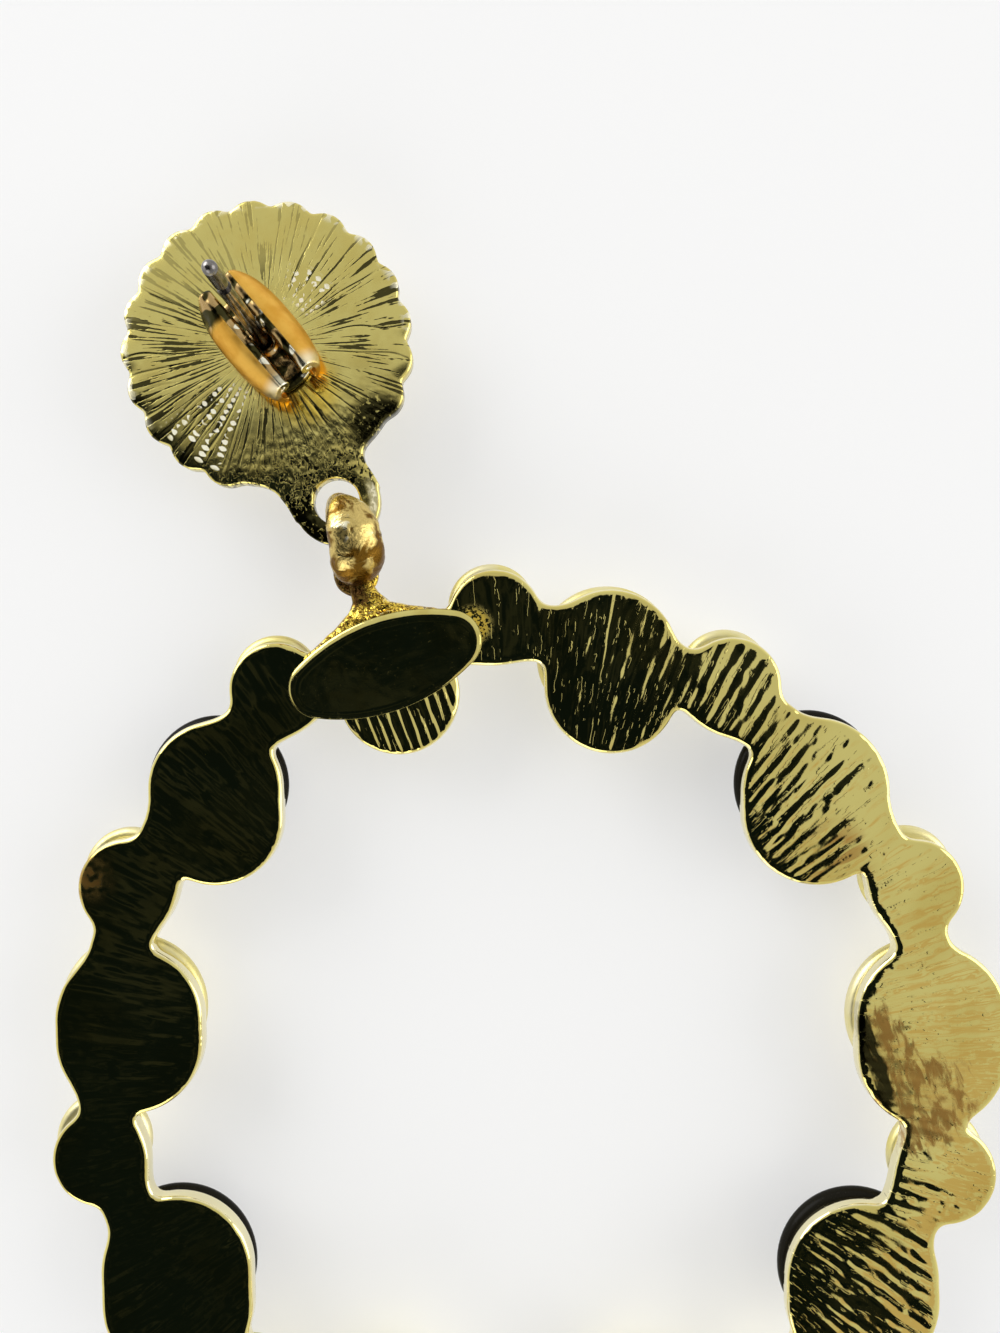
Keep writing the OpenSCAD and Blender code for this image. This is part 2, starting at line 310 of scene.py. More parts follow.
def polar_grid(centre, steps, inner, outer, cell):
    angles = np.arange(steps) * 2 * math.pi / steps
    radii = np.arange(inner, outer + cell, cell)
    a, r = np.meshgrid(angles, radii, indexing="ij")
    return centre[0] + r * np.sin(a), centre[1] + r * np.cos(a)


def square_grid(centre, half_x, half_y, cell, degrees):
    across, up = np.arange(-half_x, half_x + cell, cell), np.arange(-half_y, half_y + cell, cell)
    return placed(*np.meshgrid(across, up, indexing="ij"), centre, degrees)


def slope(distance, x, y):
    """The field's uphill direction and its steepness."""
    near = 0.01
    gx = (distance(x + near, y) - distance(x - near, y)) / (2 * near)
    gy = (distance(x, y + near) - distance(x, y - near)) / (2 * near)
    size = np.maximum(np.hypot(gx, gy), 0.2)
    return gx / size, gy / size, size


def settle(distance, x, y, level):
    """Moves points along the field's slope until they lie on one of its levels."""
    for _ in range(4):
        gx, gy, size = slope(distance, x, y)
        step = np.clip((distance(x, y) - level) / size, -0.3, 0.3)
        x, y = x - gx * step, y - gy * step
    return x, y


def no_corner_contacts(keep, wrap):
    """Drops cells that touch only at a corner, so that the plate's edge stays one clean line."""
    for _ in range(12):
        before = np.roll(keep, 1, 0)
        if not wrap:
            before[0] = False
        blank = np.zeros((keep.shape[0], 1), bool)
        below, before_below = (np.hstack([blank, cells[:, :-1]]) for cells in (keep, before))
        bad = (keep & before_below & ~before & ~below) | (before & below & ~keep & ~before_below)
        if not bad.any():
            return keep
        keep = keep & ~bad & ~(np.roll(bad, -1, 0) & wrap)
        if not wrap:
            keep[:-1] &= ~bad[1:]
    return keep


def cells_inside(grid, wrap, distance, edge):
    """Points and quads of the grid's cells that lie deeper than edge inside a shape."""
    gx, gy = grid
    nu, nv = gx.shape
    far = distance(gx, gy)
    i, j = np.meshgrid(np.arange(nu if wrap else nu - 1), np.arange(nv - 1), indexing="ij")
    i2 = (i + 1) % nu
    keep = (far[i, j] + far[i2, j] + far[i2, j + 1] + far[i, j + 1]) / 4 < -edge
    quads = np.stack([i * nv + j, i2 * nv + j, i2 * nv + j + 1, i * nv + j + 1], -1)
    used, quads = np.unique(quads[no_corner_contacts(keep, wrap)], return_inverse=True)
    return gx.ravel()[used], gy.ravel()[used], quads.reshape(-1, 4)


def single_edges(quads, count):
    """Edges that only one quad has, as pairs of point numbers."""
    ends = np.stack([quads, np.roll(quads, -1, 1)], -1).reshape(-1, 2)
    return ends[~np.isin(ends[:, 0] * count + ends[:, 1], ends[:, 1] * count + ends[:, 0])]


# Rows of a plate's front edge: how far inward and how high, in shares of its back edge's radius.
FRONT_ROWS = ((0.0, 0.4), (0.12, 0.1), (0.4, 0.0))


def relief(name, grid, distance, height, top, bottom, edge, wrap, rows=5):
    """A plate with a rounded edge of radius edge, whose upper face follows height(x, y)."""
    x, y, quads = cells_inside(grid, wrap, distance, edge)
    count = len(x)
    rim_edges = single_edges(quads, count)
    rim = np.unique(rim_edges)
    if len(rim) != len(rim_edges):
        raise RuntimeError(f"{name}: its edge isn't one clean line")
    x[rim], y[rim] = settle(distance, x[rim], y[rim], -edge)
    out_x, out_y = settle(distance, x[rim], y[rim], 0.0)
    way_x, way_y, _ = slope(distance, x[rim], y[rim])
    reach = np.clip(np.hypot(out_x - x[rim], out_y - y[rim]), 0.3 * edge, 1.6 * edge)

    def ring(outward, level, share):
        """The rim moved outward, at a level plus a share of the height there."""
        rx, ry = x[rim] + way_x * outward, y[rim] + way_y * outward
        return np.stack([rx, ry, level + share * height(rx, ry)], -1)

    points = [np.stack([x, y, top + height(x, y)], -1)]
    for angle in (np.arange(rows) + 1) / rows * math.pi / 2:
        share = math.cos(angle)
        points.append(ring(reach * math.sin(angle), top - edge * (1 - share), share))
    for inward, lift in FRONT_ROWS:
        points.append(ring(reach - inward * edge, bottom + lift * edge, 0.0))

    where = np.full(count, -1)
    where[rim] = np.arange(len(rim))
    a, b = where[rim_edges].T
    inner_a, inner_b = rim_edges.T
    faces = [quads]
    for k in range(len(points) - 1):
        start = count + k * len(rim)
        faces.append(np.stack([inner_b, inner_a, start + a, start + b], -1))
        inner_a, inner_b = start + a, start + b
    return solid_mesh(name, np.vstack(points), np.vstack(faces).tolist(), np.stack([inner_a, inner_b], -1))


def solid_mesh(name, points, faces, open_edges=(), smooth=lambda face: True):
    """Makes a mesh in metres, closes its open edges with one flat fill and turns its faces outward."""
    mesh = bpy.data.meshes.new(name)
    mesh.from_pydata((points * MM).tolist(), [], faces)
    bm = bmesh.new()
    bm.from_mesh(mesh)
    bm.verts.ensure_lookup_table()
    rim = [bm.edges.get((bm.verts[int(a)], bm.verts[int(b)])) for a, b in open_edges]
    if rim:
        made = bmesh.ops.triangle_fill(bm, use_beauty=True, use_dissolve=False, edges=rim)
        if not any(isinstance(part, bmesh.types.BMFace) for part in made["geom"]):
            raise RuntimeError(f"{name}: its underside didn't close")
    bmesh.ops.recalc_face_normals(bm, faces=bm.faces[:])
    for face in bm.faces:
        face.smooth = smooth(face)
    bm.to_mesh(mesh)
    bm.free()
    return mesh


def tube_faces(rings, count, closed):
    """Quads between rings of count points each; a closed tube also joins its last ring to its first."""
    k, j = np.meshgrid(np.arange(rings if closed else rings - 1), np.arange(count), indexing="ij")
    k2, j2 = (k + 1) % rings, (j + 1) % count
    corners = [k * count + j, k2 * count + j, k2 * count + j2, k * count + j2]
    return np.stack(corners, -1).reshape(-1, 4).tolist()


def ring_mesh(name, place, ring_r, wire_r, seed, swollen=0.0, around=128, through=32):
    """A closed round ring with a slightly uneven wire, swollen into a lump opposite its start."""
    a, b = np.meshgrid(np.arange(around), np.arange(through), indexing="ij")
    ta, tb = a * 2 * math.pi / around, b * 2 * math.pi / through
    bumps = wander(np.cos(ta) * 2.3 + 9, np.sin(ta) * 2.3 + 9 + np.cos(tb) * 0.8, seed)
    fine = wander(np.cos(ta) * 6 + 30 + np.sin(tb), np.sin(ta) * 6 + 30 + np.cos(tb), seed + 1)
    thick = swollen * np.clip(0.1 - np.cos(ta - 0.4), 0, 1)
    wire = wire_r * (1 + thick + 0.12 * bumps + 0.036 * fine)
    out = ring_r - 0.5 * wire_r * thick + wire * np.cos(tb)
    points = np.stack([out * np.cos(ta), out * np.sin(ta), wire * np.sin(tb) * (1 + 0.8 * thick)], -1)
    mesh = solid_mesh(name, points.reshape(-1, 3), tube_faces(around, through, True))
    mesh.transform(place)
    return mesh


def add_piece(mesh, material, body, node):
    """Puts a finished piece in the scene, on its body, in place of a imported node."""
    obj = bpy.data.objects.new(mesh.name, mesh)
    bpy.context.scene.collection.objects.link(obj)
    mesh.materials.append(material)
    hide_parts(node)
    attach(obj, body)


# Materials.


class Nodes:
    """Short calls for building a node tree."""

    def __init__(self, tree):
        self.tree = tree

    def node(self, kind, **values):
        made = self.tree.nodes.new(kind)
        for key, value in values.items():
            setattr(made, key, value)
        return made

    def feed(self, socket, value):
        if isinstance(value, bpy.types.NodeSocket):
            self.tree.links.new(value, socket)
        elif socket.type == "RGBA":
            socket.default_value = (*value, 1)
        else:
            socket.default_value = value

    def made_by(self, kind, values, **settings):
        """A node with its first sockets fed."""
        made = self.node(kind, **settings)
        for socket, value in zip(made.inputs, values):
            self.feed(socket, value)
        return made

    def maths(self, operation, *values):
        return self.made_by("ShaderNodeMath", values, operation=operation).outputs[0]

    def product(self, *values):
        return reduce(lambda a, b: self.maths("MULTIPLY", a, b), values)

    def total(self, *values):
        return reduce(lambda a, b: self.maths("ADD", a, b), values)

    def less(self, a, b):
        return self.maths("SUBTRACT", a, b)

    def highest(self, a, b):
        return self.maths("MAXIMUM", a, b)

    def ramp(self, value, low, high, start=0.0, end=1.0):
        """Start at low, end at high, with a soft rise between; low may be the larger of the two."""
        values = (value, low, high, start, end)
        return self.made_by("ShaderNodeMapRange", values, interpolation_type="SMOOTHSTEP").outputs["Result"]

    def band(self, value, start, full, still_full, end):
        """One between full and still_full, falling softly to zero at start and at end."""
        return self.product(self.ramp(value, start, full), self.ramp(value, end, still_full))

    def mix(self, factor, a, b):
        made = self.node("ShaderNodeMix", data_type="RGBA")
        factor_in, colour_a, colour_b = made.inputs[0], made.inputs[6], made.inputs[7]
        self.feed(factor_in, factor)
        self.feed(colour_a, a)
        self.feed(colour_b, b)
        return made.outputs[2]

    def coats(self, colour, *coats):
        """Lays coats over a colour, each of them a mask and its own colour."""
        for mask, coat in coats:
            colour = self.mix(mask, colour, coat)
        return colour

    def scaled(self, vector, factors, origin=(0, 0, 0)):
        """A vector from an origin, stretched by a factor along each axis."""
        moved = self.made_by("ShaderNodeVectorMath", (vector, origin), operation="SUBTRACT")
        values = (moved.outputs[0], factors)
        return self.made_by("ShaderNodeVectorMath", values, operation="MULTIPLY").outputs[0]

    def length(self, vector):
        return self.made_by("ShaderNodeVectorMath", (vector,), operation="LENGTH").outputs["Value"]

    def axes(self, vector):
        return self.made_by("ShaderNodeSeparateXYZ", (vector,)).outputs

    def joined(self, x, y):
        return self.made_by("ShaderNodeCombineXYZ", (x, y)).outputs[0]

    def noise(self, vector, scale=1.0, detail=2.0, roughness=0.5, distortion=0.0):
        made = self.node("ShaderNodeTexNoise")
        self.feed(made.inputs["Vector"], vector)
        made.inputs["Scale"].default_value = scale
        made.inputs["Detail"].default_value = detail
        made.inputs["Roughness"].default_value = roughness
        made.inputs["Distortion"].default_value = distortion
        return made.outputs["Fac"]


class Finish(Nodes):
    """A material whose marks are placed in the earring's own millimetres."""

    def __init__(self, name):
        self.material = bpy.data.materials.new(name)
        self.material.use_nodes = True
        super().__init__(self.material.node_tree)
        self.shader = self.tree.nodes["Principled BSDF"]
        place = self.node("ShaderNodeTexCoord").outputs["Object"]
        self.mm = self.scaled(place, (1 / MM, 1 / MM, 1 / MM))

    def about(self, centre):
        """Across, up, angle clockwise from up, and distance, about an upright axis."""
        local = self.scaled(self.mm, (1, 1, 0), (*centre, 0))
        x, y, _ = self.axes(local)
        return x, y, self.maths("ARCTAN2", x, y), self.length(local)

    def fan(self, angle, radius, per_radian, per_mm):
        """Vector for noise that spreads out from an axis."""
        return self.joined(self.product(angle, per_radian), self.product(radius, per_mm))

    def near(self, centre, inner, outer):
        """One within inner millimetres of an upright axis, falling to zero at outer."""
        return self.ramp(self.length(self.scaled(self.mm, (1, 1, 0), (*centre, 0))), outer, inner)

    def blotch(self, centre, half_x, half_y, grain):
        """One inside an upright oval, with an outline that a grain makes ragged."""
        far = self.length(self.scaled(self.mm, (1 / half_x, 1 / half_y, 0), (*centre, 0)))
        return self.ramp(self.total(far, self.product(grain, -1.4)), 0.45, 0.05)

    def sector(self, angle, start, end, soft=0.03):
        """One between two angles in radians."""
        return self.band(angle, start - soft, start + soft, end - soft, end + soft)

    def bump(self, height, distance_mm, strength=1.0, below=None):
        made = self.node("ShaderNodeBump")
        made.inputs["Strength"].default_value = strength
        made.inputs["Distance"].default_value = distance_mm * MM
        self.feed(made.inputs["Height"], height)
        if below is not None:
            self.feed(made.inputs["Normal"], below)
        return made.outputs["Normal"]

    def finish(self, colour, metallic, roughness, normal=None):
        self.feed(self.shader.inputs["Base Color"], colour)
        self.feed(self.shader.inputs["Metallic"], metallic)
        self.feed(self.shader.inputs["Roughness"], roughness)
        if normal is not None:
            self.feed(self.shader.inputs["Normal"], normal)
        return self.material


def plated_back(colours):
    """Mirror-polished plating with thin broken file marks that run out from the hoop's middle."""
    n = Finish("plated_back")
    z = n.axes(n.mm)[2]
    x, _, angle, radius = n.about(HUB)
    patches = n.noise(n.mm, scale=0.22)
    grain = n.noise(n.mm, scale=2.0, detail=3.0, roughness=0.6)
    streaks = n.noise(n.scaled(n.mm, (1.9, 0.7, 1.0)), detail=3.0, roughness=0.6, distortion=0.5)
    broad = n.noise(n.fan(angle, radius, HOOP_R / 0.8, 0.3), roughness=0.4, distortion=0.3)
    breaks = n.noise(n.fan(angle, radius, HOOP_R / 0.5, 2.6), detail=1.0)
    fine = n.total(n.noise(n.fan(angle, radius, HOOP_R / 0.26, 0.5)), n.product(breaks, 0.3))
    dashes = n.product(n.ramp(fine, 0.745, 0.81), n.ramp(x, -9, 2, 0.1, 1.0))

    # Painted highlight: the rounded edge is coloured toward bright cream.
    edge = n.ramp(z, PLATE_BACK - 0.06, PLATE_BACK - 0.16, 0.0, 0.7)
    spill = n.product(n.near(*SOLDER_SPILL), n.ramp(n.noise(n.mm, scale=6.0, detail=1.0), 0.44, 0.52))
    # A brown disc on the hoop's upper left is a painted reflection; the spots on the right lobe are worn
    # plating.
    worn = n.product(n.near(*BROWN_REFLECTION), n.ramp(n.noise(n.mm, scale=1.8, detail=1.0), 0.2, 0.6))
    for spot in WORN_SPOTS:
        brushed_through = n.ramp(streaks, 0.38, 0.60, 0.15, 0.9)
        worn = n.highest(worn, n.product(n.blotch(*spot, streaks), brushed_through))
    hatched = n.product(n.near(*HATCHED), n.ramp(broad, 0.48, 0.56, 0.0, 0.7))
    darkened = n.product(n.blotch(*DARK_STREAK, streaks), n.ramp(streaks, 0.34, 0.50, 0.45, 1.0))
    colour = n.coats(
        colours.plate,
        (n.ramp(patches, 0.35, 0.7), colours.plate_deep),
        (edge, colours.rim),
        (spill, colours.solder),
        (n.highest(worn, hatched), colours.worn),
        (n.product(darkened, n.less(1.0, edge)), colours.tarnish),
    )
    clouds = n.ramp(patches, 0.3, 0.7, 0.03, 0.06)
    roughness = n.total(clouds, n.product(dashes, 0.06), n.product(worn, 0.3))
    metallic = n.less(1.0, n.product(spill, 0.6))
    normal = n.bump(dashes, 0.005, 1.0, n.bump(broad, 0.03, 0.8, n.bump(grain, 0.004, 0.5)))
    return n.finish(colour, metallic, roughness, normal)


def grooved_back(colours):
    """Flat pale plating with thin dark radial grooves, rows of painted white glints and a granular tab, with
    a few painted highlights and reflections.
    """
    n = Finish("grooved_back")
    x, y, angle, radius = n.about(POST_XY)
    _, _, hole_angle, hole_radius = n.about(HOLE_XY)
    mottle = n.noise(n.mm, scale=0.55, detail=3.0, roughness=0.6)
    grains = n.noise(n.scaled(n.mm, (4.2, 3.0, 1.0)), detail=3.0, roughness=0.6, distortion=0.6)
    breaks = n.noise(n.fan(angle, radius, 20.0, 2.4), detail=1.0)

    # Grooves are wider on the left, and there are none under the nut or on the tab.
    wider = n.total(n.product(n.ramp(x, 1.0, -4.0), 0.036), 0.03)
    line = n.total(n.noise(n.fan(angle, radius, 34.0, 0.3), detail=1.0), n.product(breaks, 0.18), wider)
    to_tab = n.ramp(y, -4.6, -8.3)
    fewer = n.product(n.ramp(radius, 1.8, 3.2), n.ramp(y, 3.0, 5.5, 1.0, 0.35), n.less(1.0, to_tab))
    grooves = n.product(n.ramp(line, 0.69, 0.73), fewer)

    # The tab is granular, darker on its left and lit on its right beside the hole.
    lit = n.product(n.less(n.near(*TAB_SHINE), n.near(*TAB_SHADE)), 0.16)
    dark_grains = n.product(n.ramp(n.less(grains, lit), 0.52, 0.56), to_tab)
    lit_arc = n.product(
        n.band(hole_angle, 1.15, 1.6, 2.2, 2.75),
        n.band(hole_radius, 1.85, 2.2, 2.4, 2.6),
        n.ramp(grains, 0.40, 0.52, 0.95, 0.55),
    )
    # Painted dark reflection: a dark patch lower right of the post.
    dark_reflection = n.product(n.near(*DARK_REFLECTION), n.ramp(grains, 0.36, 0.42))

    # Rows of painted white glints lie lower left of the nut, and shorter ones upper right.
    upper = n.product(n.sector(angle, 0.62, 1.26), n.ramp(radius, 5.6, 5.0))
    rows = n.total(n.maths("SINE", n.product(angle, 46.0)), n.product(upper, 0.12))
    dots = n.total(rows, n.product(n.maths("SINE", n.product(radius, 15.0)), 0.7))
    kept = n.ramp(n.noise(n.fan(angle, radius, 9.0, 1.1), detail=1.0), 0.46, 0.52)
    where = n.product(n.highest(n.sector(angle, -2.5, -1.92), upper), n.band(radius, 2.9, 3.2, 8.0, 8.3))
    sparkles = n.product(where, n.ramp(dots, 0.40, 0.75), kept)

    # Painted highlights: cream blotches along the upper part of the stud's edge.
    highlit = n.product(n.ramp(radius, 8.2, 8.7), n.ramp(y, -4.0, -1.0))
    highlit = n.product(highlit, n.ramp(n.noise(n.mm, scale=1.5, detail=1.0), 0.52, 0.56))
    colour = n.coats(
        colours.stud,
        (n.ramp(mottle, 0.3, 0.7), colours.plate_deep),
        (n.highest(n.product(grooves, 0.96), dark_grains), colours.tarnish),
        (dark_reflection, colours.tarnish),
        # Painted reflection of the nut: solder yellow between the grooves below the nut.
        (n.product(n.near(*NUT_REFLECTION), n.ramp(line, 0.73, 0.66), 0.9), colours.solder),
        (n.product(highlit, 0.8), colours.rim),
        (sparkles, colours.sparkle),
        (lit_arc, colours.rim),
    )
    roughness = n.total(n.ramp(mottle, 0.3, 0.7, 0.12, 0.20), n.product(sparkles, 0.4), n.product(highlit, 0.2))
    normal = n.bump(n.highest(grooves, dark_grains), -0.008, 0.8, n.bump(mottle, 0.01, 0.4))
    return n.finish(colour, n.less(1.0, n.highest(sparkles, lit_arc)), roughness, normal)


def satin_gold(colours):
    """Satin gold of the beads, with very fine grain and faint mottling."""
    n = Finish("satin_gold")
    mottle = n.noise(n.mm, scale=0.5, detail=3.0)
    grain = n.noise(n.mm, scale=9.0, detail=3.0, roughness=0.7)
    colour = n.mix(n.ramp(mottle, 0.3, 0.7), colours.bead, colours.plate)
    return n.finish(colour, 1.0, n.ramp(grain, 0.3, 0.7, 0.36, 0.48), n.bump(grain, 0.006, 0.5))


def black_gloss(colours):
    """Glossy black enamel with faint dust and soft waves."""
    n = Finish("black_gloss")
    waves = n.noise(n.mm, scale=0.6)
    dust = n.noise(n.mm, scale=12.0, roughness=0.8)
    colour = n.mix(n.ramp(dust, 0.66, 0.74), colours.enamel, colours.enamel_dust)
    n.shader.inputs["Specular IOR Level"].default_value = 0.06
    return n.finish(colour, 0.0, n.ramp(dust, 0.4, 0.75, 0.20, 0.32), n.bump(waves, 0.02, 0.4))


def tag_mirror(colours):
    """Dark mirror plating of the tag, with hairline scratches and faint clouds."""
    n = Finish("tag_mirror")
    hair = n.noise(n.scaled(n.mm, (0.7, 7.0, 1.0)), detail=3.0, roughness=0.6)
    cloud = n.noise(n.mm, scale=0.7, detail=3.0)
    pits = n.noise(n.mm, scale=5.0, roughness=0.7)
    colour = n.mix(n.ramp(cloud, 0.4, 0.7), colours.plate, colours.plate_deep)
    roughness = n.total(n.ramp(hair, 0.45, 0.75, 0.05, 0.11), n.ramp(pits, 0.62, 0.72, 0.0, 0.12))
    return n.finish(colour, 1.0, roughness, n.bump(cloud, 0.015, 0.4, n.bump(pits, 0.004, 0.4)))


def solder_gold(colours):
    """Bright crackled solder: yellow lumps with brown cracks, cream highlights painted on the highest lumps
    and along the flare's edge, and painted shade on the left of the neck and the eye.
    """
    n = Finish("solder_gold")
    x, y, z = n.axes(n.mm)
    lumps = n.noise(n.mm, scale=1.5, detail=3.0, roughness=0.6, distortion=0.8)
    fine = n.noise(n.mm, scale=3.6, roughness=0.6, distortion=0.4)
    cracks = n.maths("ABSOLUTE", n.less(fine, 0.5))
    on_neck = n.ramp(y, NECK_FOOT_Y - 0.05, NECK_FOOT_Y + 0.35)
    # Painted highlight along the flare's rounded edge, off the neck.
    edge_highlight = n.ramp(z, PLATE_BACK + 0.04, PLATE_BACK - 0.12, 0.0, 0.85)
    colour = n.coats(
        colours.solder,
        # Painted highlights: cream on the highest lumps.
        (n.ramp(lumps, 0.58, 0.70, 0.0, 0.6), colours.rim),
        (n.ramp(cracks, 0.055, 0.015), colours.solder_deep),
        (n.ramp(lumps, 0.44, 0.36), colours.solder_deep),
        (n.product(edge_highlight, n.less(1.0, on_neck)), colours.rim),
        # Painted shade: the left side of the neck and the eye goes dark brown.
        (n.product(on_neck, n.ramp(x, 0.25, -0.05), 0.9), colours.neck),
    )
    normal = n.bump(n.ramp(cracks, 0.0, 0.05), 0.04, 0.9, n.bump(lumps, 0.14, 0.8))
    return n.finish(colour, 1.0, n.ramp(fine, 0.35, 0.7, 0.10, 0.26), normal)


def link_gold(colours):
    """Polished link with brown tarnish in its hollows, browner toward its foot, and cream highlights painted
    on its highest lumps.
    """
    n = Finish("link_gold")
    lumps = n.noise(n.mm, scale=0.9, detail=3.0, roughness=0.55, distortion=0.5)
    fine = n.noise(n.mm, scale=4.5, detail=3.0, roughness=0.7)
    foot = n.ramp(n.axes(n.mm)[1], CENTRE_Y + 33.3, CENTRE_Y + 32.3, -0.07, 0.12)
    worn = n.less(lumps, foot)
    # Painted highlights: cream on the highest lumps, more of them toward the link's upper end.
    highlight_coat = (n.ramp(worn, 0.62, 0.74), colours.rim)
    colour = n.coats(colours.solder_deep, (n.ramp(worn, 0.40, 0.52), colours.link), highlight_coat)
    normal = n.bump(lumps, 0.22, 0.9, n.bump(fine, 0.03, 0.8))
    return n.finish(colour, 1.0, n.ramp(fine, 0.3, 0.7, 0.20, 0.40), normal)


def nut_gold(colours):
    """Deep gold of the nut: satin on the outer sides of its wings, polished where they roll in."""
    n = Finish("nut_gold")
    turn = n.made_by("ShaderNodeMapping", (n.mm,), vector_type="TEXTURE")
    turn.inputs["Location"].default_value = (*POST_XY, 0)
    turn.inputs["Rotation"].default_value = (0, 0, math.radians(NUT_TURN))
    along_nut = turn.outputs[0]
    across, along, up = n.axes(along_nut)
    brushed = n.noise(n.scaled(along_nut, (5.0, 0.9, 2.5)), detail=3.0, roughness=0.6)
    cloud = n.noise(n.mm, scale=0.9, detail=3.0)
    blocks = n.noise(n.scaled(along_nut, (0.8, 1.5, 0.6)), detail=0.0)
    glints = n.noise(n.scaled(along_nut, (0.9, 1.5, 0.7), (10, 20, 0)), detail=0.0)

    inner = n.ramp(n.maths("ABSOLUTE", across), 1.04, 0.96)
    left_wing = n.ramp(across, 0.2, -0.2)
    far_side = n.product(n.ramp(along, 0.4, 1.0), left_wing)
    polished = n.highest(inner, n.product(n.ramp(along, 1.5, 2.0), left_wing))
    # Painted highlights: cream at the lower ends of the wings, on their upper parts.
    tip_highlight = n.product(n.ramp(along, -2.5, -3.3), n.ramp(up, PLATE_BACK + 1.2, PLATE_BACK + 1.8), 0.7)
    # On the polished parts, dark blocks are painted dark reflections and white spots painted highlights,
    # darker still at the upper end of the left wing.
    rolled = n.coats(
        colours.tarnish,
        (n.ramp(n.less(blocks, n.product(far_side, 0.06)), 0.48, 0.53), colours.rolled),
        (n.product(n.ramp(glints, 0.64, 0.68), inner), colours.sparkle),
    )
    outer = n.mix(n.ramp(cloud, 0.35, 0.68), colours.nut, colours.nut_deep)
    colour = n.mix(polished, outer, rolled)
    colour = n.mix(tip_highlight, colour, colours.rim)
    roughness = n.total(n.ramp(brushed, 0.3, 0.7, 0.34, 0.48), n.product(polished, -0.20))
    normal = n.bump(brushed, 0.004, 0.5, n.bump(n.product(blocks, polished), 0.24, 0.9))
    return n.finish(colour, 1.0, roughness, normal)


def drawn_steel(colours):
    """Bare drawn steel of the post, with fine marks along it."""
    n = Finish("drawn_steel")
    marks = n.noise(n.scaled(n.mm, (9.0, 9.0, 0.5)), detail=3.0, roughness=0.6)
    cloud = n.noise(n.mm, scale=1.5)
    colour = n.mix(n.ramp(cloud, 0.35, 0.65), colours.steel, colours.steel_dark)
    return n.finish(colour, 1.0, n.ramp(marks, 0.3, 0.7, 0.14, 0.30), n.bump(marks, 0.006, 0.5))


def pale_floor(colours):
    """Plain pale studio floor that gives off a little light, like a light table."""
    n = Finish("pale_floor")
    mottle = n.noise(n.mm, scale=0.03)
    darker = (0.48, 0.48, 0.48)
    colour = n.mix(n.ramp(mottle, 0.2, 0.8, 0.0, 0.1), colours.floor, darker)
    n.feed(n.shader.inputs["Emission Color"], (1, 1, 1))
    n.shader.inputs["Emission Strength"].default_value = FLOOR_GLOW
    return n.finish(colour, 0.0, 0.9)


# Properties.


def colour_property(name, description, default):
    return bpy.props.FloatVectorProperty(
        name=name, description=description, subtype="COLOR", size=3, min=0, max=1, default=default
    )


def length_property(name, description, default, low=0.0, high=0.05):
    return bpy.props.FloatProperty(
        name=name, description=description, default=default, min=low, max=high, unit="LENGTH", precision=5
    )


class EarringColours(bpy.types.PropertyGroup):
    plate: colour_property("Plate", "Pale gold of the polished backs", (0.80, 0.70, 0.24))
    plate_deep: colour_property("Plate, warm", "Warmer gold of the clouded patches", (0.72, 0.60, 0.18))
    stud: colour_property("Stud", "Olive gold of the stud's back", (0.76, 0.66, 0.22))
    # This cream is painted as highlights on edges, lumps, the nut's wing ends and beside the tab's hole.
    rim: colour_property("Rim", "Bright cream of rubbed edges and marks", (0.97, 0.92, 0.68))
    # This white is painted as glints on the stud and the nut.
    sparkle: colour_property("Sparkles", "White of the rubbed nicks in the stud", (0.96, 0.93, 0.74))
    # Also painted as a brown reflection on the hoop's upper left.
    worn: colour_property("Worn", "Brown tarnish where the plating is worn", (0.46, 0.25, 0.06))
    # Also painted as dark reflections on the stud and on the nut's polished parts.
    tarnish: colour_property("Tarnish", "Dark grey-brown in grooves", (0.05, 0.045, 0.015))
    bead: colour_property("Bead", "Satin gold of the domed beads", (0.84, 0.77, 0.46))
    enamel: colour_property("Black bead", "Glossy black of the dark beads", (0.010, 0.009, 0.006))
    enamel_dust: colour_property("Dust", "Faint dust on the dark beads", (0.03, 0.03, 0.022))
    # Also painted on the stud near the nut as the nut's reflection.
    solder: colour_property("Solder", "Bright yellow gold of the solder", (0.92, 0.66, 0.10))
    solder_deep: colour_property("Solder hollows", "Brown of the hollows", (0.16, 0.08, 0.01))
    # Painted as shade on the left side of the neck and the eye.
    neck: colour_property("Neck", "Dark brown of the neck and the eye", (0.10, 0.05, 0.015))
    link: colour_property("Link", "Gold of the jump ring", (0.66, 0.50, 0.17))
    nut: colour_property("Nut", "Orange gold of the nut", (0.86, 0.50, 0.09))
    nut_deep: colour_property("Nut, deep", "Deeper gold in the nut's clouds", (0.74, 0.38, 0.05))
    rolled: colour_property("Nut's rolls", "Brown gold of the polished rolls", (0.50, 0.34, 0.14))
    steel: colour_property("Steel", "Bare steel of the post", (0.34, 0.32, 0.31))
    steel_dark: colour_property("Steel, dark", "Darker marks on the post", (0.14, 0.13, 0.12))
    floor: colour_property("Floor", "Pale studio floor", (0.50, 0.50, 0.50))


